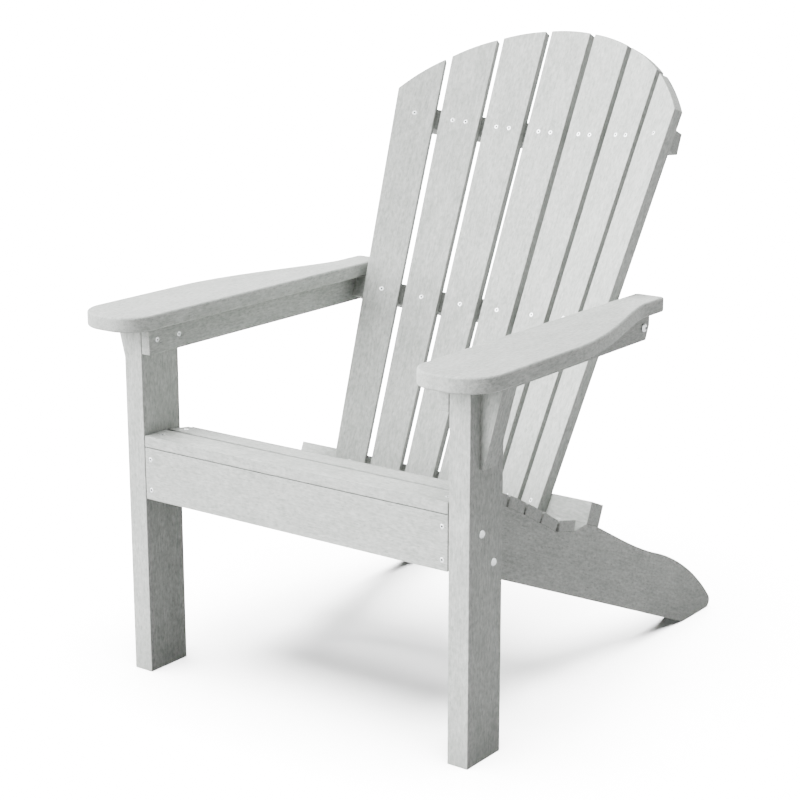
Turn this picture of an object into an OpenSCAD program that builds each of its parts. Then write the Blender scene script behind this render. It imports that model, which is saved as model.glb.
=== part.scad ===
// Adirondack chair of grey poly lumber, built board by board and fixed with screws and bolts.
// Millimetres. X runs along the seat slats, the chair faces -Y, Z is up and the ground is Z = 0.
// Left and right are the sitter's: the left side is +X.

/* [Overall] */
// Height of the seat's front edge above the ground
seat_height = 423; // [340:1:520]
// Clear width between the two legs, which is also the length of a seat slat
inner_width = 621; // [500:1:760]
// Height of the arms' top faces above the ground
arm_height = 635.4; // [520:0.1:780]
// Distance from the legs' front faces back to the tail ends of the stringers
foot_depth = 858.5; // [700:0.5:1040]
// Length of the back, from the foot of its frame to the top of the fan
back_length = 875.5; // [720:0.5:1060]

/* [Boards] */
// Thickness of the slats, apron, arm rails and rear stretcher
thin_board = 19; // [14:0.5:25]
// Thickness of the legs, stringers, back supports and arm brackets
thick_board = 38; // [30:0.5:48]
// Thickness of the two arms
arm_board = 25.4; // [18:0.2:34]
// Width of a leg, front to back
leg_depth = 89; // [70:0.5:110]
// Height of the front apron, and of the stringers' front ends
apron_height = 91; // [74:0.5:112]
// Height of an arm rail
rail_height = 47; // [38:0.5:58]

/* [Seat] */
// Width of a seat slat
seat_slat_width = 50; // [40:0.5:62]
// Gap between two seat slats
seat_slat_gap = 5.8; // [3:0.1:10]
// Length of level stringer between the last seat slat and the back's frame
back_setback = 40.8; // [30:0.1:60]

/* [Back] */
// Angle of the back from upright, degrees
recline = 23.1; // [16:0.1:30]
// Angle between two neighbouring back slats around the fan, degrees
fan_angle = 8.39; // [6:0.01:9.5]
// Gap between two back slats
back_slat_gap = 11.2; // [6:0.1:16]
// Radius of the rounded top of the fan
arch_radius = 353; // [330:1:520]
// Depth of the curved back supports behind the slats
support_depth = 48; // [38:0.5:60]
// Distance from the top of the fan down to the middle of the upper support
upper_support_drop = 194.8; // [120:0.5:260]
// How far the upper support reaches past the outermost slats' centre lines
upper_support_reach = 20.2; // [10:0.2:30]
// Gap between the middle support's top edge and the underside of the arms
support_to_arm = 1.4; // [0.5:0.1:6]
// Gap between the fan and the inner edge of an arm where the arms pass it
fan_clearance = 18; // [8:0.5:40]

/* [Arms] */
// How far an arm reaches in front of the legs
arm_reach = 62; // [40:1:80]
// How far an arm overhangs the outer face of its leg
arm_overhang = 57.5; // [45:0.5:75]
// Width of an arm inside the leg's inner face
arm_inset = 39.5; // [30:0.5:48]
// Height of the bracket under an arm
bracket_height = 136; // [100:1:170]
// Width of that bracket at its top
bracket_top = 41.5; // [32:0.5:50]
// Width of that bracket at its bottom
bracket_bottom = 6.5; // [4:0.5:12]

/* [Hardware] */
// Radius of a screw's shank
screw_r = 2.2; // [1.6:0.1:2.8]
// Radius of a screw's head
head_r = 4.1; // [3.4:0.1:5]
// Radius of a leg bolt's shank
bolt_r = 4; // [3:0.1:5]
// Radius of a leg bolt's domed head
dome_r = 6.8; // [6:0.1:9]
// How deep a screw through a thin board bites into the piece behind it
screw_bite = 20; // [16:0.5:22]
// Clearance around a shank where it only passes through a board
pass_clearance = 0.25; // [0.1:0.05:0.5]
// Clearance around a shank where its thread holds
thread_clearance = 0.02; // [0.01:0.01:0.05]

/* [Hidden] */
$fn = 96;

// Main levels and faces
half_inner = inner_width / 2;
leg_top = arm_height - arm_board;
seat_under = seat_height - thin_board;
apron_bottom = seat_under - apron_height;
stringer_inner = half_inner - thick_board;
stringer_middle = half_inner - thick_board / 2;
rail_inner = half_inner - thin_board;
leg_outer = half_inner + thick_board;
// The row's origin is under the middle of the chair's length
middle_y = (foot_depth - arm_reach) / 2;

// Seat: each slat rests on its own facet of the stringers' top edges
seat_tilts = [0, 8, 22, 27.5, 29, 30.5, 14];
function slat_lead(k) = k == 0 ? 0 : seat_slat_gap / 2
    + 2 * thin_board * tan(max(0, seat_tilts[k - 1] - seat_tilts[k]) / 2);
function facet_length(k) = slat_lead(k) + seat_slat_width + (k < 6 ? seat_slat_gap / 2 : 0);
function facet_start(k) = k == 0 ? [0, seat_under] : facet_start(k - 1)
    + facet_length(k - 1) * [cos(seat_tilts[k - 1]), -sin(seat_tilts[k - 1])];

// Back frame: its origin is the front corner of the support's seat on the stringers
frame_y = facet_start(7)[0] + back_setback;
frame_z = facet_start(7)[1] + 2.4;
end_depth = 41;
arch_t = back_length - arch_radius;

// Height of each support's centre along the back, and of its row of screws
low_t = thick_board / 2;
mid_end_d = 16.5;
mid_end_depth = 46;
mid_d = mid_end_d + mid_end_depth / 2;
mid_t = (leg_top - support_to_arm - frame_z + mid_end_d * sin(recline)) / cos(recline)
    - thick_board / 2;
upper_t = back_length - upper_support_drop;

// The slats' front faces lie on a cone: radius and depth at the frame's foot, and their growth.
// The radius is what brings the outermost slats' edges to their clearance between the arms.
fan_r_growth = 0.2059;
fan_d = 39.8;
fan_d_growth = 0.0528;
fan_side = 3 * fan_angle;
fan_half = half_inner - arm_inset - fan_clearance;
fan_r = (fan_half + cos(fan_side) * back_slat_gap / 2)
    / (sin(fan_side) + cos(fan_side) * tan(fan_angle / 2)) - fan_r_growth * mid_t;
upper_half = (fan_r + fan_r_growth * upper_t) * sin(fan_side) + upper_support_reach;

// Bolt from an arm rail into the end of the middle support
rail_bolt_t = mid_t + 4.2;
rail_bolt_y = frame_y + mid_d * cos(recline) + rail_bolt_t * sin(recline);
rail_bolt_z = frame_z - mid_d * sin(recline) + rail_bolt_t * cos(recline);
rail_end = rail_bolt_y + 19.8;
rail_bolt_r = 3.2;
rail_dome_r = 7.6;

// Fastener lengths and places
head_h = 2.6;
board_screw = thin_board + screw_bite;
support_screw = thick_board + 44;
arm_screw = rail_height + arm_board - 9;
bracket_screw = thick_board + 18;
pair_offset = 12.7;
apron_screw_x = stringer_middle + 6.5;
apron_screw_z = [seat_under - 21, apron_bottom + 17];
leg_bolts_yz = [[33.1, seat_under - 32], [leg_depth - 23.5, apron_bottom + 5.9]];
rail_screw_y = [19.8, leg_depth - 16.4];
rail_screw_z = leg_top - rail_height / 2;
bracket_screw_z = [leg_top - 13, leg_top - 33];
arm_screw_y = [leg_depth + 31, rail_end * 0.55, rail_end - 56];
washer_h = 1.6;
nut_h = 6.5;
rail_x = half_inner - thin_board / 2;
support_screw_d = [12, 30];
stretcher_h = 70;
stretcher_d = 1;
stretcher_screw_x = stringer_inner - 21;

// ---- small helpers ----

function bez(p, n) = [for (i = [1:n])
    let (u = i / n) pow(1 - u, 3) * p[0] + 3 * u * pow(1 - u, 2) * p[1]
        + 3 * pow(u, 2) * (1 - u) * p[2] + pow(u, 3) * p[3]];

function arc(c, r, a0, a1, n) = [for (i = [0:n])
    let (a = a0 + (a1 - a0) * i / n) [c[0] + r * cos(a), c[1] + r * sin(a)]];

module in_place() {
    translate([0, -middle_y, 0])
        children();
}

module both_sides() {
    children();
    mirror([1, 0, 0])
        children();
}

// An outline drawn in Y and Z, given a thickness along X from x0
module side_board(points, x0, thickness) {
    translate([x0, 0, 0])
        rotate([90, 0, 90])
            linear_extrude(thickness)
                polygon(points);
}

// A countersunk screw: its head's face is at the origin and its point is towards -Z
module screw(length) {
    translate([0, 0, -head_h])
        cylinder(h = head_h, r1 = screw_r, r2 = head_r);
    translate([0, 0, -length + 4])
        cylinder(h = length - 4 - head_h, r = screw_r);
    translate([0, 0, -length])
        cylinder(h = 4, r1 = 0.4, r2 = screw_r);
}

// The hole for that screw: countersunk, open through the first board, then a tight pilot
module screw_hole(length, through) {
    cylinder(h = 2, r = head_r);
    translate([0, 0, -head_h])
        cylinder(h = head_h, r1 = screw_r, r2 = head_r);
    translate([0, 0, -through])
        cylinder(h = through - head_h / 2, r = screw_r + pass_clearance);
    translate([0, 0, -length - 0.5])
        cylinder(h = length - head_h, r = screw_r + thread_clearance);
}

module dome(r, h) {
    ball = (r * r + h * h) / (2 * h);
    intersection() {
        translate([0, 0, h - ball])
            sphere(r = ball);
        cylinder(h = h, r = r);
    }
}

// ---- places of the fasteners, each used for the fastener and for its holes ----

module at_leg_bolts(x) {
    for (p = leg_bolts_yz)
        translate([x, p[0], p[1]])
            rotate([0, 90, 0])
                children();
}

module at_rail_bolt(x) {
    translate([x, rail_bolt_y, rail_bolt_z])
        rotate([0, 90, 0])
            children();
}

module at_apron_screws() {
    for (z = apron_screw_z)
        translate([apron_screw_x, 0, z])
            rotate([90, 0, 0])
                children();
}

module at_rail_screws() {
    for (y = rail_screw_y)
        translate([rail_inner, y, rail_screw_z])
            rotate([0, -90, 0])
                children();
}

module at_bracket_screws() {
    for (z = bracket_screw_z)
        translate([half_inner, leg_depth / 2, z])
            rotate([0, -90, 0])
                children();
}

module at_arm_screws() {
    for (y = arm_screw_y)
        translate([rail_x, y, leg_top - rail_height])
            rotate([180, 0, 0])
                children();
}

module seat_frame(k) {
    translate([0, facet_start(k)[0], facet_start(k)[1]])
        rotate([-seat_tilts[k], 0, 0])
            children();
}

module at_seat_screws(k) {
    seat_frame(k)
        for (s = [-1, 1])
            translate([s * stringer_middle, slat_lead(k) + seat_slat_width / 2, thin_board])
                children();
}

// ---- the reclined back ----

module back_frame() {
    translate([0, frame_y, frame_z])
        rotate([-recline, 0, 0])
            children();
}

function slat_a(i) = fan_angle * i;
function slat_tilt(i) = atan(fan_r_growth + (fan_d_growth - fan_r_growth) * cos(slat_a(i)));
function slat_splay(i) =
    atan(sin(slat_a(i)) * (fan_r_growth - fan_d_growth) * cos(slat_tilt(i)));
function slat_stretch(i) = sqrt(1 + pow(fan_r_growth * sin(slat_a(i)), 2)
    + pow(fan_d_growth - fan_r_growth * (1 - cos(slat_a(i))), 2));
function slat_x(i) = fan_r * sin(slat_a(i));
function slat_d(i) = fan_d - fan_r * (1 - cos(slat_a(i)));
function half_width(i, z) =
    (fan_r + fan_r_growth * z / slat_stretch(i)) * tan(fan_angle / 2) - back_slat_gap / 2;

// Where the round top of the fan crosses a slat's face, at a distance x from its centre line
function row_a(i) = cos(slat_splay(i)) * cos(slat_a(i))
    - sin(slat_splay(i)) * sin(slat_tilt(i)) * sin(slat_a(i));
function row_c(i) = sin(slat_splay(i)) * cos(slat_a(i))
    + cos(slat_splay(i)) * sin(slat_tilt(i)) * sin(slat_a(i));
function row_e(i) = -sin(slat_splay(i)) * cos(slat_tilt(i));
function row_g(i) = cos(slat_splay(i)) * cos(slat_tilt(i));
function arch_root(u, v, c, g) = (-(u * c + v * g) + sqrt(pow(u * c + v * g, 2)
    - (c * c + g * g) * (u * u + v * v - arch_radius * arch_radius))) / (c * c + g * g);
function arch_z(i, x) = arch_root(slat_x(i) + row_a(i) * x, row_e(i) * x - arch_t,
    row_c(i), row_g(i));
function arch_edge(i, s, x, n) = n == 0 ? x
    : arch_edge(i, s, s * half_width(i, arch_z(i, x)), n - 1);
function foot_z(i, x) = (thin_board * sin(slat_tilt(i)) - row_e(i) * x) / row_g(i);

function slat_outline(i) =
    let (l = arch_edge(i, -1, -half_width(i, 700), 6), r = arch_edge(i, 1, half_width(i, 700), 6),
        f = half_width(i, 0), n = 16)
    concat([[-f, foot_z(i, -f)], [f, foot_z(i, f)]],
        [for (j = [0:n]) let (x = r + (l - r) * j / n) [x, arch_z(i, x)]]);

module slat_frame(i) {
    translate([slat_x(i), slat_d(i), 0])
        rotate([0, 0, -slat_a(i)])
            rotate([-slat_tilt(i), 0, 0])
                rotate([0, slat_splay(i), 0])
                    children();
}

module at_slat_screw(i, t, x) {
    back_frame()
        slat_frame(i)
            translate([x, 0, t * slat_stretch(i)])
                rotate([90, 0, 0])
                    children();
}

module at_row(t) {
    for (i = [-3:3])
        at_slat_screw(i, t, 0)
            children();
}

module at_upper_row() {
    for (i = [-2:2])
        for (s = [-1, 1])
            at_slat_screw(i, upper_t, s * pair_offset)
                children();
    for (i = [-3, 3])
        at_slat_screw(i, upper_t, 0)
            children();
}

module at_support_screws() {
    back_frame()
        for (s = [-1, 1])
            for (d = support_screw_d)
                translate([s * stringer_middle, d, thick_board])
                    children();
}

module at_stretcher_screws() {
    back_frame()
        for (s = [-1, 1])
            translate([s * stretcher_screw_x, stretcher_d + thin_board / 2, thick_board])
                children();
}

module back_slat(i) {
    in_place()
        difference() {
            back_frame()
                slat_frame(i)
                    translate([0, thin_board, 0])
                        rotate([90, 0, 0])
                            linear_extrude(thin_board)
                                polygon(slat_outline(i));
            at_slat_screw(i, low_t, 0)
                screw_hole(board_screw, thin_board);
            at_slat_screw(i, mid_t, 0)
                screw_hole(board_screw, thin_board);
            if (abs(i) == 3)
                at_slat_screw(i, upper_t, 0)
                    screw_hole(board_screw, thin_board);
            if (abs(i) < 3)
                for (s = [-1, 1])
                    at_slat_screw(i, upper_t, s * pair_offset)
                        screw_hole(board_screw, thin_board);
        }
}

// All the space in front of the slats' rear faces, bounded by seven flat planes
module fan_space() {
    intersection_for (i = [-3:3])
        slat_frame(i)
            translate([-1500, thin_board - 1500, -1500])
                cube([3000, 1500, 3000]);
}

// A support: curved behind, faceted in front so each slat lies flat against it
module support(t, half_length, front, ends) {
    difference() {
        union() {
            intersection() {
                translate([0, fan_d + fan_d_growth * t - fan_r - fan_r_growth * t,
                        t - thick_board / 2])
                    cylinder(h = thick_board,
                        r = fan_r + fan_r_growth * t + thin_board + support_depth, $fn = 240);
                translate([-half_length, front, t - thick_board / 2])
                    cube([2 * half_length, 300, thick_board]);
            }
            if (ends > 0)
                translate([-half_length, front, t - thick_board / 2])
                    cube([2 * half_length, ends, thick_board]);
        }
        fan_space();
    }
}

// ---- the pieces ----

module leg() {
    in_place()
        difference() {
            translate([half_inner, 0, 0])
                cube([thick_board, leg_depth, leg_top]);
            at_leg_bolts(half_inner - 1)
                cylinder(h = thick_board + 2, r = bolt_r + pass_clearance);
            at_rail_screws()
                screw_hole(board_screw, thin_board);
            at_bracket_screws()
                screw_hole(bracket_screw, thick_board);
        }
}

module left_leg() {
    color("#d4d5d5")
        leg();
}

module right_leg() {
    color("#d4d5d5")
        mirror([1, 0, 0])
            leg();
}

module front_apron() {
    color("#d4d5d5")
        in_place()
            difference() {
                translate([-half_inner, 0, apron_bottom])
                    cube([inner_width, thin_board, apron_height]);
                both_sides()
                    at_apron_screws()
                        screw_hole(board_screw, thin_board);
            }
}

tail_r = 13;
notch_y = frame_y + end_depth * cos(recline);
notch_z = frame_z - end_depth * sin(recline);
foot_front = foot_depth - 104.6;
function tail_point(f, g) = [notch_y + f * (foot_depth - notch_y), g * notch_z];

stringer_outline = concat(
    [[thin_board, apron_bottom], [thin_board, seat_under]],
    [for (k = [1:7]) facet_start(k)],
    [[frame_y, frame_z], [notch_y, notch_z]],
    bez([tail_point(0, 1), tail_point(0.143, 0.882), tail_point(0.296, 0.736),
        tail_point(0.476, 0.623)], 16),
    bez([tail_point(0.476, 0.623), tail_point(0.673, 0.511), tail_point(0.867, 0.308),
        [foot_depth - tail_r + tail_r * cos(45), tail_r + tail_r * sin(45)]], 20),
    [for (p = arc([foot_depth - tail_r, tail_r], tail_r, 36, -90, 9)) p],
    [[foot_front, 0]]);

module stringer() {
    in_place()
        difference() {
            side_board(stringer_outline, stringer_inner, thick_board);
            at_leg_bolts(stringer_inner - 1)
                cylinder(h = thick_board + 2, r = bolt_r + pass_clearance);
            at_apron_screws()
                screw_hole(board_screw, thin_board);
            for (k = [0:6])
                at_seat_screws(k)
                    screw_hole(board_screw, thin_board);
            at_support_screws()
                screw_hole(support_screw, thick_board);
        }
}

module left_stringer() {
    color("#c9cbcb")
        stringer();
}

module right_stringer() {
    color("#c9cbcb")
        mirror([1, 0, 0])
            stringer();
}

module seat_slat(k) {
    in_place()
        difference() {
            seat_frame(k)
                translate([-half_inner, slat_lead(k), 0])
                    cube([inner_width, seat_slat_width, thin_board]);
            at_seat_screws(k)
                screw_hole(board_screw, thin_board);
        }
}

module seat_slat_1() {
    color("#d8d9d9")
        seat_slat(0);
}

module seat_slat_2() {
    color("#d8d9d9")
        seat_slat(1);
}

module seat_slat_3() {
    color("#d8d9d9")
        seat_slat(2);
}

module seat_slat_4() {
    color("#d8d9d9")
        seat_slat(3);
}

module seat_slat_5() {
    color("#d8d9d9")
        seat_slat(4);
}

module seat_slat_6() {
    color("#d8d9d9")
        seat_slat(5);
}

module seat_slat_7() {
    color("#d8d9d9")
        seat_slat(6);
}

module rear_stretcher() {
    color("#c4c6c6")
        in_place()
            difference() {
                back_frame()
                    translate([-stringer_inner, stretcher_d, -stretcher_h])
                        cube([2 * stringer_inner, thin_board, stretcher_h]);
                at_stretcher_screws()
                    screw_hole(support_screw, thick_board);
            }
}

module lower_back_support() {
    color("#c4c6c6")
        in_place()
            difference() {
                back_frame()
                    support(low_t, half_inner, 0, end_depth);
                at_row(low_t)
                    screw_hole(board_screw, thin_board);
                at_support_screws()
                    screw_hole(support_screw, thick_board);
                at_stretcher_screws()
                    screw_hole(support_screw, thick_board);
            }
}

module middle_back_support() {
    color("#c4c6c6")
        in_place()
            difference() {
                back_frame()
                    support(mid_t, rail_inner, mid_end_d, mid_end_depth);
                at_row(mid_t)
                    screw_hole(board_screw, thin_board);
                both_sides()
                    at_rail_bolt(rail_inner - 40)
                        cylinder(h = 42, r = rail_bolt_r + thread_clearance);
            }
}

module upper_back_support() {
    color("#c4c6c6")
        in_place()
            difference() {
                back_frame()
                    support(upper_t, upper_half, 18, 0);
                at_upper_row()
                    screw_hole(board_screw, thin_board);
            }
}

module back_slat_1() {
    color("#d4d5d5")
        back_slat(-3);
}

module back_slat_2() {
    color("#d4d5d5")
        back_slat(-2);
}

module back_slat_3() {
    color("#d4d5d5")
        back_slat(-1);
}

module back_slat_4() {
    color("#d4d5d5")
        back_slat(0);
}

module back_slat_5() {
    color("#d4d5d5")
        back_slat(1);
}

module back_slat_6() {
    color("#d4d5d5")
        back_slat(2);
}

module back_slat_7() {
    color("#d4d5d5")
        back_slat(3);
}

arm_in = half_inner - arm_inset;
arm_out = leg_outer + arm_overhang;
arm_tail_x = leg_outer - 20.5;
arm_end = rail_end + 19;
corner_out = 62;
corner_in = 50;
corner_tail = 8;

arm_outline = concat(
    arc([arm_in + corner_in, corner_in - arm_reach], corner_in, 180, 270, 20),
    arc([arm_out - corner_out, corner_out - arm_reach], corner_out, 270, 360, 24),
    bez([[arm_out, arm_end * 0.325], [arm_out, arm_end * 0.537],
        [arm_tail_x + 10, arm_end * 0.764], [arm_tail_x, arm_end * 0.886]], 28),
    arc([arm_tail_x - corner_tail, arm_end - corner_tail], corner_tail, 0, 90, 6),
    arc([arm_in + corner_tail, arm_end - corner_tail], corner_tail, 90, 180, 6));

module arm() {
    in_place()
        difference() {
            translate([0, 0, leg_top])
                linear_extrude(arm_board)
                    polygon(concat(arm_outline, [[arm_in, arm_end / 3]]));
            at_arm_screws()
                screw_hole(arm_screw, rail_height);
        }
}

module left_arm() {
    color("#dcdddd")
        arm();
}

module right_arm() {
    color("#dcdddd")
        mirror([1, 0, 0])
            arm();
}

module arm_rail() {
    in_place()
        difference() {
            side_board([[0, leg_top - rail_height], [rail_end - 11, leg_top - rail_height],
                [rail_end, leg_top - rail_height * 0.47], [rail_end, leg_top], [0, leg_top]],
                rail_inner, thin_board);
            at_rail_screws()
                screw_hole(board_screw, thin_board);
            at_rail_bolt(rail_inner - 1)
                cylinder(h = thin_board + 2, r = rail_bolt_r + pass_clearance);
            at_arm_screws()
                screw_hole(arm_screw, rail_height);
        }
}

module left_arm_rail() {
    color("#cfd1d1")
        arm_rail();
}

module right_arm_rail() {
    color("#cfd1d1")
        mirror([1, 0, 0])
            arm_rail();
}

module arm_bracket() {
    in_place()
        difference() {
            translate([leg_outer, leg_depth / 2 + thick_board / 2, leg_top - bracket_height])
                rotate([90, 0, 0])
                    linear_extrude(thick_board)
                        polygon([[0, 0], [bracket_bottom, 0], [bracket_top, bracket_height],
                            [0, bracket_height]]);
            at_bracket_screws()
                screw_hole(bracket_screw, thick_board);
        }
}

module left_arm_bracket() {
    color("#cfd1d1")
        arm_bracket();
}

module right_arm_bracket() {
    color("#cfd1d1")
        mirror([1, 0, 0])
            arm_bracket();
}

// ---- fasteners ----

bolt_length = 2 * thick_board + washer_h + nut_h + 2;

module leg_bolts() {
    color("#a9acae")
        in_place()
            both_sides() {
                at_leg_bolts(leg_outer)
                    dome(dome_r, 4.2);
                at_leg_bolts(leg_outer - bolt_length)
                    cylinder(h = bolt_length, r = bolt_r);
            }
}

module leg_bolt_washers() {
    color("#a9acae")
        in_place()
            both_sides()
                at_leg_bolts(stringer_inner - washer_h)
                    difference() {
                        cylinder(h = washer_h, r = bolt_r * 2.2);
                        translate([0, 0, -1])
                            cylinder(h = washer_h + 2, r = bolt_r + pass_clearance);
                    }
}

module leg_bolt_nuts() {
    color("#a9acae")
        in_place()
            both_sides()
                at_leg_bolts(stringer_inner - washer_h - nut_h)
                    difference() {
                        cylinder(h = nut_h, r = bolt_r * 1.85, $fn = 6);
                        translate([0, 0, -1])
                            cylinder(h = nut_h + 2, r = bolt_r + thread_clearance);
                    }
}

module arm_rail_bolts() {
    color("#b9bcbe")
        in_place()
            both_sides() {
                at_rail_bolt(half_inner)
                    difference() {
                        dome(rail_dome_r, 4.4);
                        translate([0, 0, 2])
                            cylinder(h = 4, r = 2.9, $fn = 6);
                    }
                at_rail_bolt(rail_inner - 38)
                    cylinder(h = thin_board + 38, r = rail_bolt_r);
            }
}

module rail_screws() {
    color("#a9acae")
        in_place()
            both_sides()
                at_rail_screws()
                    screw(board_screw);
}

module apron_screws() {
    color("#a9acae")
        in_place()
            both_sides()
                at_apron_screws()
                    screw(board_screw);
}

module seat_slat_screws() {
    color("#a9acae")
        in_place()
            for (k = [0:6])
                at_seat_screws(k)
                    screw(board_screw);
}

module lower_back_screws() {
    color("#a9acae")
        in_place()
            at_row(low_t)
                screw(board_screw);
}

module middle_back_screws() {
    color("#a9acae")
        in_place()
            at_row(mid_t)
                screw(board_screw);
}

module upper_back_screws() {
    color("#a9acae")
        in_place()
            at_upper_row()
                screw(board_screw);
}

module support_screws() {
    color("#a9acae")
        in_place()
            at_support_screws()
                screw(support_screw);
}

module stretcher_screws() {
    color("#a9acae")
        in_place()
            at_stretcher_screws()
                screw(support_screw);
}

module arm_screws() {
    color("#a9acae")
        in_place()
            both_sides()
                at_arm_screws()
                    screw(arm_screw);
}

module bracket_screws() {
    color("#a9acae")
        in_place()
            both_sides()
                at_bracket_screws()
                    screw(bracket_screw);
}

// ---- what is drawn ----

left_leg();
right_leg();
front_apron();
left_stringer();
right_stringer();
seat_slat_1();
seat_slat_2();
seat_slat_3();
seat_slat_4();
seat_slat_5();
seat_slat_6();
seat_slat_7();
rear_stretcher();
lower_back_support();
middle_back_support();
upper_back_support();
back_slat_1();
back_slat_2();
back_slat_3();
back_slat_4();
back_slat_5();
back_slat_6();
back_slat_7();
left_arm();
right_arm();
left_arm_rail();
right_arm_rail();
left_arm_bracket();
right_arm_bracket();
leg_bolts();
leg_bolt_washers();
leg_bolt_nuts();
arm_rail_bolts();
rail_screws();
apron_screws();
seat_slat_screws();
lower_back_screws();
middle_back_screws();
upper_back_screws();
support_screws();
stretcher_screws();
arm_screws();
bracket_screws();
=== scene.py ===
import math

import bmesh
import bpy
from mathutils import Matrix, Vector
from mathutils.bvhtree import BVHTree


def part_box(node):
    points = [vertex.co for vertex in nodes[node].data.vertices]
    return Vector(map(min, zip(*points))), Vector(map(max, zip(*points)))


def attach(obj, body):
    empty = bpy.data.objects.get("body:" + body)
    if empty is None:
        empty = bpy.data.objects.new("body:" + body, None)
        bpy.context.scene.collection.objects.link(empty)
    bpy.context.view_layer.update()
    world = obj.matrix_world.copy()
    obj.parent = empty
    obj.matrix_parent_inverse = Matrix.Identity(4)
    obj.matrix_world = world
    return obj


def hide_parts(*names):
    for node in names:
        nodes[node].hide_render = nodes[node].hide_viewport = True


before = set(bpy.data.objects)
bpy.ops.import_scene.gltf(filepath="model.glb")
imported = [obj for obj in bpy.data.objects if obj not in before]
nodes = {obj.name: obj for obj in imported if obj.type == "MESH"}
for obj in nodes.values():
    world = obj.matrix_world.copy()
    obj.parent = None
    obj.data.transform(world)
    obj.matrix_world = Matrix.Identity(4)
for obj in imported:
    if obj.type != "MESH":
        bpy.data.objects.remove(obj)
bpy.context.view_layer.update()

MM = 0.001
PIECES = []                # every finished piece of the chair

# ---------------------------------------------------------------------------
# Sizes of the visual detail, in millimetres
# ---------------------------------------------------------------------------

EDGE_ROUNDING = 1.1        # routed corner of an ordinary board
ARM_ROUNDING = 3.6         # the arms' corners are eased more
BRACKET_ROUNDING = 0.5
ROUNDING_STEPS = 4
SHARP_ANGLE = 28           # degrees: a board's corner sharper than this is rounded
STEEL_SHARP_ANGLE = 35     # degrees: a steel corner sharper than this is shaded sharp
HEAD_SINK = 0.25           # a screw's head lies this far below the board's face
HEAD_RADIUS = 4.1
HEAD_GAP = 0.35            # open ring around a screw's head
COUNTERSINK = 2.8          # depth of the pocket cut for a head
POCKET_SIDES = 32
LEG_DOME = 4.2             # height of a leg bolt's head
RAIL_DOME = 4.4            # height of a rail bolt's head

# How closely the CAD's own faces are read, in millimetres
WELD = 0.01                # points nearer than this are one
FLAT = 0.02                # points this near a plane lie in it
ON_FACE = 0.3              # a head this near a board's face is sunk in that board
HEAD_ZONE = 6              # how much of a fastener's end is taken as its head
STRAIGHT = 0.2             # degrees: an outline's bend smaller than this is no corner
ALIKE = 0.9                # cosine between facets that may lie in one plane
PARALLEL = 0.9999          # cosine between a board's two broad faces, turned over

# Metres from one board's grain to the next one's, so that no two look alike
GRAIN_SHIFT = (0.731, 0.377, 0.193)

SUPPORTS = ["lower_back_support", "middle_back_support", "upper_back_support"]
ARMS = ["left_arm", "right_arm"]
BOARDS = (["left_leg", "right_leg", "front_apron", "left_stringer", "right_stringer"]
          + [f"seat_slat_{k}" for k in range(1, 8)]
          + [f"back_slat_{k}" for k in range(1, 8)]
          + ["rear_stretcher", "left_arm_rail", "right_arm_rail",
             "left_arm_bracket", "right_arm_bracket"])
SCREW_NODES = ["apron_screws", "seat_slat_screws", "rail_screws", "lower_back_screws",
               "middle_back_screws", "upper_back_screws", "support_screws",
               "stretcher_screws", "arm_screws", "bracket_screws"]
ROUNDING = {"left_arm": ARM_ROUNDING, "right_arm": ARM_ROUNDING,
            "left_arm_bracket": BRACKET_ROUNDING, "right_arm_bracket": BRACKET_ROUNDING}

# Cut short at the low and at the high ends of X, Y and Z, so that sawn joints show a line
NOT_SHORT = ((0, 0, 0), (0, 0, 0))
SHORT = {"front_apron": ((1.4, 0, 0), (1.4, 0, 1.4)),
         "seat_slat_1": ((1.4, 0, 0), (1.4, 0, 0)),
         "seat_slat_2": ((1.4, 0, 0), (1.4, 0, 0)),
         "left_arm_rail": ((0, 0, 0), (1.2, 0, 0)),
         "right_arm_rail": ((1.2, 0, 0), (0, 0, 0))}

# ---------------------------------------------------------------------------
# Small helpers
# ---------------------------------------------------------------------------


def linear(code):
    """An sRGB hex colour such as "#c8cac9" as linear RGBA."""
    channels = [int(code[i:i + 2], 16) / 255 for i in (1, 3, 5)]
    return [c / 12.92 if c <= 0.04045 else ((c + 0.055) / 1.055) ** 2.4 for c in channels] + [1]


def add(tree, kind, inputs=None, **settings):
    """A new node. inputs holds constants or the sockets to link, by input name or number."""
    node = tree.nodes.new(kind)
    for name, value in settings.items():
        setattr(node, name, value)
    for key, value in (inputs or {}).items():
        if isinstance(value, bpy.types.NodeSocket):
            tree.links.new(value, node.inputs[key])
        else:
            node.inputs[key].default_value = value
    return node


def new_object(name, bm):
    """An object in the scene from a bmesh, at the origin."""
    mesh = bpy.data.meshes.new(name)
    bm.to_mesh(mesh)
    bm.free()
    obj = bpy.data.objects.new(name, mesh)
    bpy.context.scene.collection.objects.link(obj)
    return obj


def baked(obj):
    """Replaces an object's mesh by what its modifiers make of it, and removes them."""
    graph = bpy.context.evaluated_depsgraph_get()
    mesh = bpy.data.meshes.new_from_object(obj.evaluated_get(graph), depsgraph=graph)
    obj.modifiers.clear()
    obj.data = mesh


def shaded_smooth(obj, sharp):
    """Smooth shading, but for the corners sharper than that many degrees."""
    obj.data.polygons.foreach_set("use_smooth", [True] * len(obj.data.polygons))
    obj.data.set_sharp_from_angle(angle=math.radians(sharp))


def with_tree(obj, tree, **inputs):
    """Gives an object a Geometry Nodes tree, with its inputs set by name."""
    modifier = obj.modifiers.new(tree.name, "NODES")
    modifier.node_group = tree
    sockets = {s.name: s.identifier for s in tree.interface.items_tree if s.in_out == "INPUT"}
    for name, value in inputs.items():
        modifier[sockets[name]] = value


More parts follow.
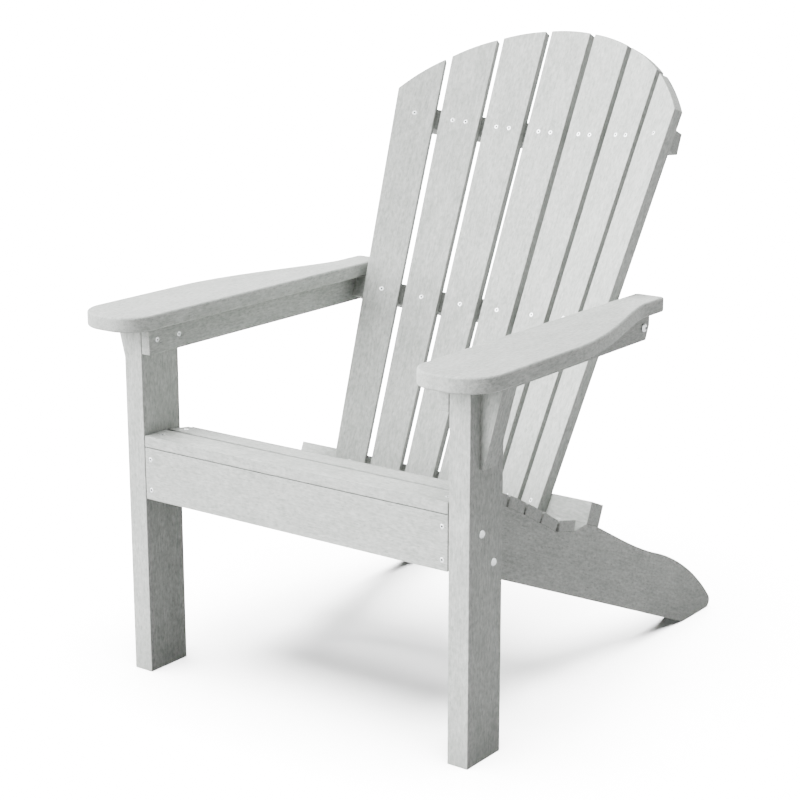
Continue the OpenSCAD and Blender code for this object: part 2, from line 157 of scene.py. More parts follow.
def welded(node):
    """A CAD node's mesh as a bmesh, with the split corners of its facets joined."""
    bm = bmesh.new()
    bm.from_mesh(nodes[node].data)
    bmesh.ops.remove_doubles(bm, verts=bm.verts, dist=WELD * MM)
    return bm


# ---------------------------------------------------------------------------
# Materials
# ---------------------------------------------------------------------------

PIGMENT_PALE, PIGMENT_DARK = "#d3d5d2", "#a6aaa6"
TORN_SKIN = "#8b8f8b"
# Colour of the painted shade in gaps, joints and under parts
PAINTED_SHADE = "#6f746f"
SCUFFED_STEEL = "#8f9294"
# Colour of the painted shade inside a screw's or bolt's socket
SOCKET_SHADE = "#55585a"
SAW_MARKS = 0.22           # how strongly the blade's marks darken a sawn end


def blank(data):
    """The emptied node tree of a new material or world."""
    data.use_nodes = True
    data.node_tree.nodes.clear()
    return data.node_tree


def lumber_group():
    """Poly lumber: HDPE with light grey pigment through it, extruded and brushed along the
    board. To the eye it is a matte, slightly mottled grey with short darker strokes and fine
    fibres that run with the board, and a sawn end that shows the blade's marks instead.
    Board is the place in the board's own axes in metres: along, across, through."""
    tree = bpy.data.node_groups.new("Poly lumber", "ShaderNodeTree")
    tree.interface.new_socket("Board", in_out="INPUT", socket_type="NodeSocketVector")
    tree.interface.new_socket("Facing", in_out="INPUT", socket_type="NodeSocketVector")
    tree.interface.new_socket("Shader", in_out="OUTPUT", socket_type="NodeSocketShader")
    source = add(tree, "NodeGroupInput")
    mm = add(tree, "ShaderNodeVectorMath", {0: source.outputs["Board"], "Scale": 1 / MM},
             operation="SCALE").outputs[0]

    # Patterns by their size in mm along and across the board. Real fibres are about 0.3 mm
    # wide, which is too fine to show, so they are drawn about four times as coarse.
    sizes = {"fibres": (38, 1.3), "strokes": (13, 3.0), "mottle": (8, 5.5),
             "flecks": (11, 1.6), "clouds": (70, 28), "grit": (1.5, 0.7)}
    pattern = {}
    for name, (along, across) in sizes.items():
        place = add(tree, "ShaderNodeVectorMath",
                    {0: mm, 1: (1 / along, 1 / across, 1 / across)}, operation="MULTIPLY")
        pattern[name] = add(tree, "ShaderNodeTexNoise",
                            {"Vector": place.outputs[0], "Scale": 1.0, "Detail": 2.5,
                             "Roughness": 0.55}).outputs[0]

    # Colour: grey pigment, darker in the strokes and where the fibres are pulled out
    tone = 0.0
    for name, share in {"fibres": 0.18, "strokes": 0.32, "mottle": 0.32, "clouds": 0.18}.items():
        tone = add(tree, "ShaderNodeMath", {0: pattern[name], 1: share, 2: tone},
                   operation="MULTIPLY_ADD").outputs[0]
    pigment = add(tree, "ShaderNodeMapRange", {"Value": tone, "From Min": 0.38, "From Max": 0.62})
    grey = add(tree, "ShaderNodeMix", {0: pigment.outputs[0], 6: linear(PIGMENT_DARK),
                                       7: linear(PIGMENT_PALE)}, data_type="RGBA")

    # Stray flecks where the brush has torn the skin
    torn = add(tree, "ShaderNodeMapRange", {"Value": pattern["flecks"], "From Min": 0.37,
                                            "From Max": 0.30, "To Max": 0.65})
    flecked = add(tree, "ShaderNodeMix", {0: torn.outputs[0], 6: grey.outputs[2],
                                          7: linear(TORN_SKIN)}, data_type="RGBA")

    # Painted shade: the colour is darkened where ambient occlusion finds other surfaces within 120
    # mm, in gaps, joints and under parts
    open_air = add(tree, "ShaderNodeAmbientOcclusion", {"Distance": 120 * MM}, samples=6)
    painted_shade_share = add(tree, "ShaderNodeMapRange", {"Value": open_air.outputs["AO"],
                                                 "From Min": 0.95, "From Max": 0.25,
                                                 "To Max": 0.46})
    with_painted_shade = add(tree, "ShaderNodeMix", {0: painted_shade_share.outputs[0], 6: flecked.outputs[2],
                                        7: linear(PAINTED_SHADE)}, data_type="RGBA")

    # Sawn ends: no grain to see, but the blade's fine parallel marks
    facing = add(tree, "ShaderNodeSeparateXYZ", {0: source.outputs["Facing"]})
    turned_away = add(tree, "ShaderNodeMath", {0: facing.outputs[0]}, operation="ABSOLUTE")
    end = add(tree, "ShaderNodeMapRange", {"Value": turned_away.outputs[0], "From Min": 0.8,
                                           "From Max": 0.95}).outputs[0]
    saw = add(tree, "ShaderNodeTexWave", {"Vector": mm, "Scale": 0.32, "Distortion": 1.5,
                                          "Detail": 1.0},
              wave_type="BANDS", bands_direction="Y").outputs[1]
    mark = add(tree, "ShaderNodeMath", {0: saw, 1: end}, operation="MULTIPLY")
    shade = add(tree, "ShaderNodeMath", {0: mark.outputs[0], 1: SAW_MARKS}, operation="MULTIPLY")
    colour = add(tree, "ShaderNodeMix", {0: shade.outputs[0], 6: with_painted_shade.outputs[2],
                                         7: linear(PIGMENT_DARK)}, data_type="RGBA")

    # Relief: the strokes and fibres stand out by about a tenth of a millimetre
    height = 0.0
    for name, share in {"fibres": 0.6, "strokes": 0.7, "grit": 0.25}.items():
        height = add(tree, "ShaderNodeMath", {0: pattern[name], 1: share, 2: height},
                     operation="MULTIPLY_ADD").outputs[0]
    relief = add(tree, "ShaderNodeMix", {0: end, 2: height, 3: saw})
    bump = add(tree, "ShaderNodeBump", {"Height": relief.outputs[0], "Strength": 0.32,
                                        "Distance": 0.16 * MM})
    worn = add(tree, "ShaderNodeMath", {0: pattern["fibres"], 1: pattern["grit"]},
               operation="ADD")
    rough = add(tree, "ShaderNodeMapRange", {"Value": worn.outputs[0], "From Min": 0.7,
                                             "From Max": 1.3, "To Min": 0.54, "To Max": 0.70})
    skin = add(tree, "ShaderNodeBsdfPrincipled",
               {"Base Color": colour.outputs[2], "Roughness": rough.outputs[0], "IOR": 1.5,
                "Specular IOR Level": 0.16, "Normal": bump.outputs[0]})
    add(tree, "NodeGroupOutput", {"Shader": skin.outputs[0]})
    return tree


LUMBER = lumber_group()


def lumber(name, along, normal, shift):
    """The lumber material for one board: its grain runs along the given direction."""
    along = along.normalized()
    across = normal.cross(along).normalized()
    turn = Matrix((along, across, along.cross(across))).to_euler()
    material = bpy.data.materials.new(name)
    tree = blank(material)
    place = add(tree, "ShaderNodeTexCoord")
    board = add(tree, "ShaderNodeMapping", {"Vector": place.outputs["Object"],
                                            "Rotation": turn, "Location": shift})
    facing = add(tree, "ShaderNodeMapping", {"Vector": place.outputs["Normal"],
                                             "Rotation": turn}, vector_type="VECTOR")
    skin = add(tree, "ShaderNodeGroup", node_tree=LUMBER)
    tree.links.new(board.outputs[0], skin.inputs["Board"])
    tree.links.new(facing.outputs[0], skin.inputs["Facing"])
    add(tree, "ShaderNodeOutputMaterial", {"Surface": skin.outputs[0]})
    return material


def stainless(name, tint, polish):
    """Stainless steel, turned and then tumbled bright. It mirrors the white room, so a head
    reads as a bright ring, broken by fine scuffs, round a socket whose dark colour is
    painted shade. polish is its roughness."""
    material = bpy.data.materials.new(name)
    tree = blank(material)
    place = add(tree, "ShaderNodeTexCoord")
    mm = add(tree, "ShaderNodeVectorMath", {0: place.outputs["Object"], "Scale": 1 / MM},
             operation="SCALE").outputs[0]
    # Scuffs about 1 mm long, and a tumbled grain of 0.2 mm
    scuffs = add(tree, "ShaderNodeTexNoise", {"Vector": mm, "Scale": 0.9, "Detail": 3.0,
                                              "Roughness": 0.6}).outputs[0]
    grain = add(tree, "ShaderNodeTexNoise", {"Vector": mm, "Scale": 4.5, "Detail": 2.0,
                                             "Roughness": 0.5}).outputs[0]
    dulled = add(tree, "ShaderNodeMapRange", {"Value": scuffs, "From Min": 0.45,
                                              "From Max": 0.75, "To Max": 0.35})
    colour = add(tree, "ShaderNodeMix", {0: dulled.outputs[0], 6: linear(tint),
                                         7: linear(SCUFFED_STEEL)}, data_type="RGBA")
    # Painted shade: the socket's inside is coloured dark, as its recess would be in shade
    socket = add(tree, "ShaderNodeAttribute", attribute_name="socket").outputs["Fac"]
    socket_shaded = add(tree, "ShaderNodeMix", {0: socket, 6: colour.outputs[2],
                                        7: linear(SOCKET_SHADE)}, data_type="RGBA")
    both = add(tree, "ShaderNodeMath", {0: scuffs, 1: grain}, operation="ADD")
    rough = add(tree, "ShaderNodeMapRange", {"Value": both.outputs[0], "From Min": 0.7,
                                             "From Max": 1.3, "To Min": polish,
                                             "To Max": polish + 0.16})
    bump = add(tree, "ShaderNodeBump", {"Height": grain, "Strength": 0.25,
                                        "Distance": 0.03 * MM})
    skin = add(tree, "ShaderNodeBsdfPrincipled",
               {"Base Color": socket_shaded.outputs[2], "Metallic": 1.0, "Roughness": rough.outputs[0],
                "Normal": bump.outputs[0]})
    add(tree, "ShaderNodeOutputMaterial", {"Surface": skin.outputs[0]})
    return material


SCREW_STEEL = stainless("Stainless screws, satin", "#eceeef", 0.30)
BOLT_STEEL = stainless("Stainless bolts, tumbled", "#c2c4c5", 0.24)

# ---------------------------------------------------------------------------
# Fasteners: where the CAD has them
# ---------------------------------------------------------------------------


def islands(node):
    """The separate solids of a node, each as a list of its points."""
    bm = welded(node)
    left = set(bm.verts)
    found = []
    for start in bm.verts:
        if start not in left:
            continue
        left.remove(start)
        stack, group = [start], []
        while stack:
            vert = stack.pop()
            group.append(vert.co.copy())
            for edge in vert.link_edges:
                other = edge.other_vert(vert)
                if other in left:
                    left.remove(other)
                    stack.append(other)
        found.append(group)
    bm.free()
    return found


def mean(points):
    """The middle of some points."""
    return sum(points, Vector()) / len(points)


def head_and_axis(points):
    """(middle of the head's top, direction out of the head, length) of a screw or bolt."""
    middle = mean(points)
    far = max(points, key=lambda p: (p - middle).length)
    rough_axis = (far - max(points, key=lambda p: (p - far).length)).normalized()
    reach = [p.dot(rough_axis) for p in points]
    top, bottom = max(reach), min(reach)
    upper = [p for p in points if p.dot(rough_axis) > top - HEAD_ZONE * MM]
    lower = [p for p in points if p.dot(rough_axis) < bottom + HEAD_ZONE * MM]
    spread = [max((p - mean(end)).length for p in end) for end in (upper, lower)]
    head, tip = (upper, lower) if spread[0] > spread[1] else (lower, upper)
    axis = (mean(head) - mean(tip)).normalized()
    top = max(p.dot(axis) for p in points)
    bottom = min(p.dot(axis) for p in points)
    centre = mean(head) - mean(head).dot(axis) * axis + top * axis
    return centre, axis, top - bottom


screws = {node: [head_and_axis(group) for group in islands(node)] for node in SCREW_NODES}

# ---------------------------------------------------------------------------
# Boards
# ---------------------------------------------------------------------------


def flat_faces(bm):
    """The mesh's planes: [normal, offset, faces, area] for each."""
    planes = []
    for face in sorted(bm.faces, key=lambda f: -f.calc_area()):
        for plane in planes:
            if plane[0].dot(face.normal) > ALIKE and all(
                    abs(plane[0].dot(v.co) - plane[1]) < FLAT * MM for v in face.verts):
                plane[2].append(face)
                plane[3] += face.calc_area()
                break
        else:
            planes.append([face.normal.copy(), face.normal.dot(face.verts[0].co), [face],
                           face.calc_area()])
    return planes


def outer_loop(faces):
    """The longest closed outline around a set of faces, in order, without its holes."""
    inside = set(faces)
    rim = {}
    for face in faces:
        for loop in face.loops:
            if sum(f in inside for f in loop.edge.link_faces) == 1:
                rim[loop.vert] = loop.link_loop_next.vert
    best, best_length = [], 0.0
    while rim:
        start, vert = rim.popitem()
        outline = [start.co.copy()]
        while vert is not start and vert in rim:
            outline.append(vert.co.copy())
            vert = rim.pop(vert)
        length = sum((a - b).length for a, b in zip(outline, outline[1:] + outline[:1]))
        if length > best_length:
            best, best_length = outline, length
    return best


def without_straights(outline):
    """An outline without the points that lie on a straight stretch."""
    kept = []
    for i, here in enumerate(outline):
        before, after = outline[i - 1], outline[(i + 1) % len(outline)]
        if (here - before).angle(after - here, 0.0) > math.radians(STRAIGHT):
            kept.append(here)
    return kept


def broad_faces(node):
    """The outlines of a CAD board's two broad faces, point for point, and their normal."""
    source = welded(node)
    planes = flat_faces(source)
    pairs = [(min(a[3], b[3]), a, b) for a in planes for b in planes
             if a[0].dot(b[0]) < -PARALLEL]
    _, front, back = max(pairs, key=lambda p: p[0])
    near = without_straights(outer_loop(front[2]))
    far = without_straights(outer_loop(back[2]))
    normal = front[0].copy()
    through = -normal * (front[1] + back[1])
    source.free()
    far = [min(far, key=lambda q: (q - p - through).length) for p in near]

    # Cut short where the board meets another
    low, high = (Vector(corner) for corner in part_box(node))
    low_cut, high_cut = (Vector(cut) * MM for cut in SHORT.get(node, NOT_SHORT))
    size, new_size = high - low, high - high_cut - low - low_cut
    for outline in (near, far):
        for point in outline:
            for k in range(3):
                point[k] = low[k] + low_cut[k] + (point[k] - low[k]) * new_size[k] / size[k]
    return near, far, normal


def board_tree():
    """Thickens a flat Outline into a board."""
    tree = bpy.data.node_groups.new("Board from its outline", "GeometryNodeTree")
    face = tree.interface
    face.new_socket("Outline", in_out="INPUT", socket_type="NodeSocketGeometry")
    face.new_socket("Thickness", in_out="INPUT", socket_type="NodeSocketFloat")
    face.new_socket("Finish", in_out="INPUT", socket_type="NodeSocketMaterial")
    face.new_socket("Board", in_out="OUTPUT", socket_type="NodeSocketGeometry")
    source = add(tree, "NodeGroupInput")
    raised = add(tree, "GeometryNodeExtrudeMesh",
                 {"Mesh": source.outputs["Outline"], "Offset Scale": source.outputs["Thickness"],
                  "Individual": False}, mode="FACES")
    under = add(tree, "GeometryNodeFlipFaces", {"Mesh": source.outputs["Outline"]})
    both = add(tree, "GeometryNodeJoinGeometry", {"Geometry": raised.outputs["Mesh"]})
    tree.links.new(under.outputs[0], both.inputs[0])
    closed = add(tree, "GeometryNodeMergeByDistance", {"Geometry": both.outputs[0],
                                                       "Distance": WELD * MM})
    real = add(tree, "GeometryNodeRealizeInstances", {0: closed.outputs[0]})
    finished = add(tree, "GeometryNodeSetMaterial", {"Geometry": real.outputs[0],
                                                     "Material": source.outputs["Finish"]})
    add(tree, "NodeGroupOutput", {0: finished.outputs[0]})
    return tree


BOARD = board_tree()


def straight_board(name, near, far, finish):
    """A board of one thickness: its outline, thickened by Geometry Nodes."""
    bm = bmesh.new()
    bm.faces.new([bm.verts.new(point) for point in reversed(near)])
    obj = new_object(name, bm)
    with_tree(obj, BOARD, Thickness=(far[0] - near[0]).length, Finish=finish)
    return obj


def bevelled_board(name, near, far, finish):
    """A board whose front facets lean, so that its two broad faces differ."""
    bm = bmesh.new()
    rings = [[bm.verts.new(point) for point in outline] for outline in (near, far)]
    bm.faces.new(rings[0])
    bm.faces.new(list(reversed(rings[1])))
    for k in range(len(near)):
        bm.faces.new((rings[0][k], rings[0][k - 1], rings[1][k - 1], rings[1][k]))
    bmesh.ops.recalc_face_normals(bm, faces=bm.faces)
    obj = new_object(name, bm)
    obj.data.materials.append(finish)
    return obj


def pocket(bm, centre, axis):
    """Adds the shape of one screw head's pocket, with an eased mouth, to a cutter."""
    wide = (HEAD_RADIUS + HEAD_GAP) * MM
    rings = [(wide + 1.1 * MM, 0.6 * MM), (wide + 0.25 * MM, -0.05 * MM), (wide, -0.35 * MM),
             (wide, -COUNTERSINK * MM)]
    turn = axis.to_track_quat("Z", "Y").to_matrix()
    angles = [2 * math.pi * k / POCKET_SIDES for k in range(POCKET_SIDES)]
    loops = [[bm.verts.new(centre + turn @ Vector((radius * math.cos(a),
                                                   radius * math.sin(a), z)))
              for a in angles] for radius, z in rings]
    for upper, lower in zip(loops, loops[1:]):
        for k in range(POCKET_SIDES):
            bm.faces.new((upper[k - 1], lower[k - 1], lower[k], upper[k]))
    bm.faces.new(loops[0])
    bm.faces.new(list(reversed(loops[-1])))


def board(node, index):
    """The finished board for a CAD node: rounded edges, screw pockets and grain."""
    near, far, normal = broad_faces(node)
    if node in SUPPORTS:
        build, along = bevelled_board, Vector((1, 0, 0))
    else:
        build = straight_board
        along = max((q - p for p, q in zip(near, near[1:] + near[:1])), key=lambda e: e.length)
    finish = lumber("Poly lumber, " + node.replace("_", " "), along, normal,
                    [step * index for step in GRAIN_SHIFT])
    obj = build(node + "_board", near, far, finish)
    surface = BVHTree.FromObject(obj, bpy.context.evaluated_depsgraph_get())
    heads = [(centre, axis) for group in screws.values() for centre, axis, _ in group
             if (surface.find_nearest(centre)[3] or 0) < ON_FACE * MM]
    ease = obj.modifiers.new("Rounded edges", "BEVEL")
    ease.limit_method = "ANGLE"
    ease.angle_limit = math.radians(SHARP_ANGLE)
    ease.width = ROUNDING.get(node, EDGE_ROUNDING) * MM
    ease.segments = ROUNDING_STEPS
    cutter = None
    if heads:
        cut = bmesh.new()
        for centre, axis in heads:
            pocket(cut, centre, axis)
        bmesh.ops.recalc_face_normals(cut, faces=cut.faces)
        cutter = new_object(node + "_pockets", cut)
        sink = obj.modifiers.new("Screw pockets", "BOOLEAN")
        sink.object = cutter
        sink.operation = "DIFFERENCE"
        sink.solver = "EXACT"
    baked(obj)
    if cutter:
        bpy.data.objects.remove(cutter)
    shaded_smooth(obj, SHARP_ANGLE)
    even = obj.modifiers.new("Even normals", "WEIGHTED_NORMAL")
    even.keep_sharp = True
    even.weight = 100
    baked(obj)
    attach(obj, "root")
    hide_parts(node)
    PIECES.append(obj)


for index, node in enumerate(BOARDS + SUPPORTS + ARMS):
    board(node, index)

# ---------------------------------------------------------------------------
# Fasteners: turned shapes, set on the CAD's places by Geometry Nodes
# ---------------------------------------------------------------------------


def turned(name, rings, sides=48, inside=0):
    """A turned shape about Z from its rings (radius, height), in mm, from the top down.
    A radius may also be a function of the angle, for sockets and hexagons. The first rings,
    as many as inside says, lie in the socket."""
    bm = bmesh.new()
    socket = bm.verts.layers.float.new("socket")
    loops = []
    for number, (radius, z) in enumerate(rings):
        if radius == 0:
            loops.append([bm.verts.new((0, 0, z * MM))])
            loops[-1][0][socket] = number < inside
            continue
        loop = []
        for k in range(sides):
            a = 2 * math.pi * k / sides
            r = radius(a) if callable(radius) else radius
            height = z(a) if callable(z) else z
            loop.append(bm.verts.new((r * MM * math.cos(a), r * MM * math.sin(a), height * MM)))
        for vert in loop:
            vert[socket] = number < inside
        loops.append(loop)
    for upper, lower in zip(loops, loops[1:]):
        for k in range(sides):
            m = (k + 1) % sides
            corners = [upper[k % len(upper)], lower[k % len(lower)],
                       lower[m % len(lower)], upper[m % len(upper)]]
            corners = list(dict.fromkeys(corners))
            if len(corners) > 2:
                bm.faces.new(corners)
    bmesh.ops.recalc_face_normals(bm, faces=bm.faces)
    return new_object(name, bm)


def six_lobes(size):
    """A six-lobed driver socket, about size mm in radius."""
    return lambda a: size * (0.86 + 0.14 * math.cos(6 * a))


def hexagon(size):
    """A hexagon with that distance from its centre to a flat, in mm."""
    return lambda a: size / math.cos((a + math.pi / 6) % (math.pi / 3) - math.pi / 6)


def screw_shape(length):
    """Countersunk screw with a six-lobed socket; its head's top is a little below z = 0."""
    top, lobe, shank, root, pitch = -HEAD_SINK, 1.9, 2.2, 1.75, 2.0
    rings = [(0, top - 2.1), (six_lobes(lobe - 0.3), top - 1.9), (six_lobes(lobe), top - 0.14),
             (six_lobes(lobe + 0.05), top - 0.07), (six_lobes(lobe + 0.2), top),
             (HEAD_RADIUS - 0.35, top), (HEAD_RADIUS - 0.08, top - 0.12),
             (HEAD_RADIUS, top - 0.35), (shank, top - 2.5)]
    z = top - 4.0
    while z > -length + 6:
        rings += [(shank, z), (root, z - 0.9), (root, z - 1.2)]
        z -= pitch
    rings += [(2.0, -length + 4), (0, -length)]
    return turned("screw", rings, sides=24, inside=3)


def dome(radius, height):
    """Rings of a domed head from its rim's top edge outwards, top first."""
    ball = (radius ** 2 + height ** 2) / (2 * height)
    steps, crown = 8, 0.985
    rings = []
    for k in range(1, steps + 1):
        r = radius * k / steps * crown
        rings.append((r, math.sqrt(ball ** 2 - r ** 2) - ball + height))
    return rings + [(radius, 0.35), (radius - 0.15, 0.0)]


def thread(radius, start, end, pitch):
    """Rings of a plain thread between two heights, going down."""
    rings = []
    z = start
    while z > end + pitch:
        rings += [(radius, z), (radius - 0.55, z - pitch / 2)]
        z -= pitch
    return rings + [(radius - 0.1, z), (radius - 0.9, end)]


def leg_bolt_shape(length, head_height):
    """Domed carriage bolt; z = 0 is under its head."""
    head, shank, threaded, pitch = 6.8, 4.0, 24, 1.25
    under = -(length - head_height)
    return turned("leg bolt", [(0, head_height)] + dome(head, head_height) + [(shank, 0.0)]
                  + thread(shank, under + threaded, under, pitch) + [(0, under)])


def rail_bolt_shape(length, head_height):
    """Domed bolt with a hexagon socket; z = 0 is under its head."""
    head, shank, threaded, pitch = 7.6, 3.2, 36, 1.0
    under = -(length - head_height)
    rim = [ring for ring in dome(head, head_height) if ring[0] > 3.6]
    socket = [(0, 1.3), (hexagon(2.3), 1.4), (hexagon(2.5), rim[0][1] - 0.1),
              (hexagon(2.75), rim[0][1] + 0.25)]
    return turned("rail bolt", socket + rim + [(shank, 0.0)]
                  + thread(shank, under + threaded, under, pitch) + [(0, under)], inside=3)


def washer_shape(thickness):
    """Flat washer with its outer corners broken."""
    hole, rim, corner = 4.3, 8.8, 0.25
    return turned("washer", [(hole, thickness), (8.5, thickness), (rim, thickness - corner),
                             (rim, corner), (8.5, 0.0), (hole, 0.0), (hole, thickness)])


def nut_shape(height):
    """Hexagon nut with its corners turned off at both ends, and a thread in its bore."""
    flat, crown, pitch = 6.4, 6.2, 1.25
    across = hexagon(flat)
    slope = math.tan(math.radians(30))
    bore = [(4.3, 0.0)]
    z = 0.0
    while z < height - 1.3:
        bore += [(3.9, z + 0.6), (4.25, z + pitch)]
        z += pitch
    return turned("nut", [(4.4, height), (crown, height),
                          (across, lambda a: height - (across(a) - crown) * slope),
                          (across, lambda a: (across(a) - crown) * slope),
                          (crown, 0.0)] + bore + [(4.4, height)])


def fastener_tree():
    """Puts the Fastener object on every point, turned by the point's turn, with a Finish."""
    tree = bpy.data.node_groups.new("Fasteners on points", "GeometryNodeTree")
    face = tree.interface
    face.new_socket("Points", in_out="INPUT", socket_type="NodeSocketGeometry")
    face.new_socket("Fastener", in_out="INPUT", socket_type="NodeSocketObject")
    face.new_socket("Finish", in_out="INPUT", socket_type="NodeSocketMaterial")
    face.new_socket("Fasteners", in_out="OUTPUT", socket_type="NodeSocketGeometry")
    source = add(tree, "NodeGroupInput")
    shape = add(tree, "GeometryNodeObjectInfo", {"Object": source.outputs["Fastener"],
                                                 "As Instance": True})
    turn = add(tree, "GeometryNodeInputNamedAttribute", {"Name": "turn"},
               data_type="FLOAT_VECTOR")
    rotation = add(tree, "FunctionNodeEulerToRotation", {0: turn.outputs["Attribute"]})
    placed = add(tree, "GeometryNodeInstanceOnPoints",
                 {"Points": source.outputs["Points"], "Instance": shape.outputs["Geometry"],
                  "Rotation": rotation.outputs[0]})
    real = add(tree, "GeometryNodeRealizeInstances", {0: placed.outputs[0]})
    finished = add(tree, "GeometryNodeSetMaterial", {"Geometry": real.outputs[0],
                                                     "Material": source.outputs["Finish"]})
    add(tree, "NodeGroupOutput", {0: finished.outputs[0]})
    return tree


FASTENERS = fastener_tree()


def set_fasteners(node, places, shape, finish):
    """One piece of all a node's fasteners: shape on every (place, direction)."""
    mesh = bpy.data.meshes.new(node)
    mesh.from_pydata([place for place, _ in places], [], [])
    turns = mesh.attributes.new("turn", "FLOAT_VECTOR", "POINT")
    for k, (_, axis) in enumerate(places):
        turns.data[k].vector = axis.to_track_quat("Z", "Y").to_euler()
    obj = bpy.data.objects.new(node + "_steel", mesh)
    bpy.context.scene.collection.objects.link(obj)
    with_tree(obj, FASTENERS, Fastener=shape, Finish=finish)
    baked(obj)
    bpy.data.objects.remove(shape)
    shaded_smooth(obj, STEEL_SHARP_ANGLE)
    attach(obj, "root")
    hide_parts(node)
    PIECES.append(obj)


for node, group in screws.items():
    set_fasteners(node, [(centre, axis) for centre, axis, _ in group],
                  screw_shape(group[0][2] / MM), SCREW_STEEL)

leg_bolts = [head_and_axis(group) for group in islands("leg_bolts")]
set_fasteners("leg_bolts", [(c - a * LEG_DOME * MM, a) for c, a, _ in leg_bolts],
              leg_bolt_shape(leg_bolts[0][2] / MM, LEG_DOME), BOLT_STEEL)
rail_bolts = [head_and_axis(group) for group in islands("arm_rail_bolts")]
rail_face = max(abs(x) for x in (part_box("left_arm_rail")[1][0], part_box("right_arm_rail")[0][0]))
set_fasteners("arm_rail_bolts",
              [(Vector((math.copysign(rail_face, c.x), c.y, c.z)), a) for c, a, _ in rail_bolts],
              rail_bolt_shape(rail_bolts[0][2] / MM, RAIL_DOME), BOLT_STEEL)


def flat_ring_places(node):
    """The inner face's middle of each washer or nut, and the direction out of the chair."""
    places = []
    for group in islands(node):
        side = math.copysign(1, mean(group).x)
        low = [min(p[k] for p in group) for k in range(3)]
        high = [max(p[k] for p in group) for k in range(3)]
        inner = low[0] if side > 0 else high[0]
        places.append((Vector((inner, (low[1] + high[1]) / 2, (low[2] + high[2]) / 2)),
                       Vector((side, 0, 0))))
        thickness = (high[0] - low[0]) / MM
    return places, thickness


washers, washer_thickness = flat_ring_places("leg_bolt_washers")
set_fasteners("leg_bolt_washers", washers, washer_shape(washer_thickness), BOLT_STEEL)
nuts, nut_thickness = flat_ring_places("leg_bolt_nuts")
set_fasteners("leg_bolt_nuts", nuts, nut_shape(nut_thickness), BOLT_STEEL)

# ---------------------------------------------------------------------------
# Stage, light and camera
# ---------------------------------------------------------------------------

# Each light has its strength, how wide it looks from the chair in degrees, and its direction
OVERHEAD = 4.2             # large softbox above the chair
OVERHEAD_SPREAD = 46
OVERHEAD_FROM = (0.0, 0.10, 1.0)
FRONT = 14.8               # broad light from the front's left
FRONT_SPREAD = 75
FRONT_FROM = (-0.66, -0.72, 0.22)
BACK = 2.4                 # weaker light on the sides turned away from the front
BACK_SPREAD = 40
BACK_FROM = (-0.65, 0.72, 0.15)
FLOOR_LIGHT = 68           # the whole ceiling, on the floor alone, so that it burns out white
FLOOR_LIGHT_SPREAD = 72
FLOOR_LIGHT_FROM = (0, -0.08, 1.0)
ROOM = 0.09                # what comes evenly from all round
ROOM_SHINE = 3.2           # how bright the white room looks in steel
ROOM_TINT = (0.975, 1.0, 0.975, 1)
BACKGROUND = 15.0          # how bright it looks behind the chair, where it burns out
FLOOR_BOUNCE = 0.042       # share of the floor's light that it throws back on the chair
FLOOR_SHINE = 0.13         # how white the floor looks in steel
FLOOR_WHITE = 0.85         # how white it looks to the eye
SWEEP = 60                 # metres from the chair to the floor's edge

# Long lens, a little above the chair and off to its front's left
LENS, SENSOR = 89.74, 36
AZIMUTH, ELEVATION = 36.35, 14.73
CAMERA_PLACE = (1.934, -2.727, 1.3275)


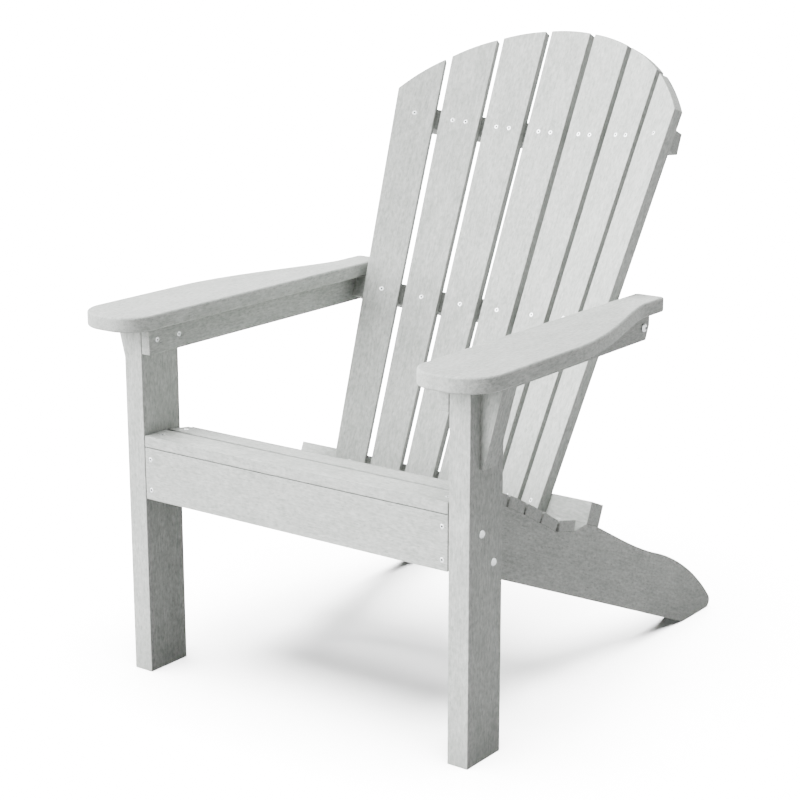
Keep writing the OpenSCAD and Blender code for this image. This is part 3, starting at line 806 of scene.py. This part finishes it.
def stage():
    """A plain white sweep that runs far behind the chair. What it throws back on the chair is
    held down, so that the boards' sides stay as dark as under a real softbox."""
    bm = bmesh.new()
    bmesh.ops.create_grid(bm, x_segments=1, y_segments=1, size=SWEEP)
    floor = new_object("floor", bm)
    material = bpy.data.materials.new("White studio sweep, matte")
    tree = blank(material)
    path = add(tree, "ShaderNodeLightPath")
    thrown = add(tree, "ShaderNodeMix", {0: path.outputs["Is Glossy Ray"],
                                         2: FLOOR_BOUNCE, 3: FLOOR_SHINE})
    shade = add(tree, "ShaderNodeMix", {0: path.outputs["Is Camera Ray"],
                                        2: thrown.outputs[0], 3: FLOOR_WHITE})
    skin = add(tree, "ShaderNodeBsdfDiffuse", {"Color": shade.outputs[0]})
    add(tree, "ShaderNodeOutputMaterial", {"Surface": skin.outputs[0]})
    floor.data.materials.append(material)
    return floor


def sun(name, strength, spread, place, lit):
    """A soft light from a far place, on the lit objects alone; spread is how wide it looks
    from the chair, in degrees."""
    lamp = bpy.data.lights.new(name, "SUN")
    lamp.energy = strength
    lamp.angle = math.radians(spread)
    obj = bpy.data.objects.new(name, lamp)
    obj.rotation_euler = (-Vector(place)).to_track_quat("-Z", "Y").to_euler()
    bpy.context.scene.collection.objects.link(obj)
    obj.light_linking.receiver_collection = bpy.data.collections.new("Lit by the " + name)
    for piece in lit:
        obj.light_linking.receiver_collection.objects.link(piece)


def room_light():
    """Even white light from all round; it is seen as a white background."""
    world = bpy.data.worlds.new("Studio")
    tree = blank(world)
    path = add(tree, "ShaderNodeLightPath")
    shine = add(tree, "ShaderNodeMix", {0: path.outputs["Is Glossy Ray"],
                                        2: ROOM, 3: ROOM_SHINE})
    strength = add(tree, "ShaderNodeMix", {0: path.outputs["Is Camera Ray"],
                                           2: shine.outputs[0], 3: BACKGROUND})
    glow = add(tree, "ShaderNodeBackground", {"Color": ROOM_TINT,
                                              "Strength": strength.outputs[0]})
    add(tree, "ShaderNodeOutputWorld", {"Surface": glow.outputs[0]})
    bpy.context.scene.world = world


floor = stage()
room_light()
sun("overhead light", OVERHEAD, OVERHEAD_SPREAD, OVERHEAD_FROM, PIECES)
sun("front light", FRONT, FRONT_SPREAD, FRONT_FROM, PIECES)
sun("back light", BACK, BACK_SPREAD, BACK_FROM, PIECES)
sun("floor light", FLOOR_LIGHT, FLOOR_LIGHT_SPREAD, FLOOR_LIGHT_FROM, [floor])

view = bpy.data.cameras.new("camera")
view.lens = LENS
view.sensor_width = SENSOR
camera = bpy.data.objects.new("camera", view)
camera.location = CAMERA_PLACE
camera.rotation_euler = (math.radians(90 - ELEVATION), 0, math.radians(AZIMUTH))
bpy.context.scene.collection.objects.link(camera)
bpy.context.scene.camera = camera
